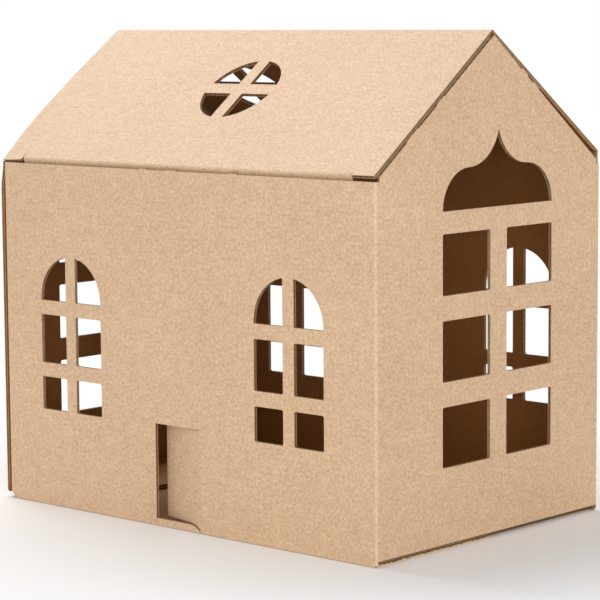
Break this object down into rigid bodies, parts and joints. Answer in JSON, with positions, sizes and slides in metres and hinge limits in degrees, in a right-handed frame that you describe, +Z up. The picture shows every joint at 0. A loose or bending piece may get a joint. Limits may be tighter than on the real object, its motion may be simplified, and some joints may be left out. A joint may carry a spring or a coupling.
{
  "type": "paper house model",
  "caption": "Toy house folded from corrugated kraft board, with arched, paned and round cut-out windows, a roof that lifts as a lid and a small hinged door flap.",
  "frame": {"origin": "on the table, under the middle of the house", "axes": "+X along the ridge towards the right gable, +Y from the front wall to the back wall, +Z up"},
  "size_m": [0.2636, 0.177, 0.25],
  "materials": {
    "kraft_board": "matte"
  },
  "bodies": {
    "house": {"house_body": "kraft_board"},
    "roof": {"roof_lid": "kraft_board"},
    "door": {"door_flap": "kraft_board"}
  },
  "joints": [
    {"name": "roof_fold", "type": "hinge", "parent": "house", "child": "roof", "pos_m": [0, 0.08828, 0.18768], "axis": [-1, 0, 0], "range_deg": [0, 120]},
    {"name": "door_fold", "type": "hinge", "parent": "house", "child": "door", "pos_m": [0.0164, -0.0885, 0.027], "axis": [0, 0, -1], "range_deg": [-103, 72]}
  ]
}
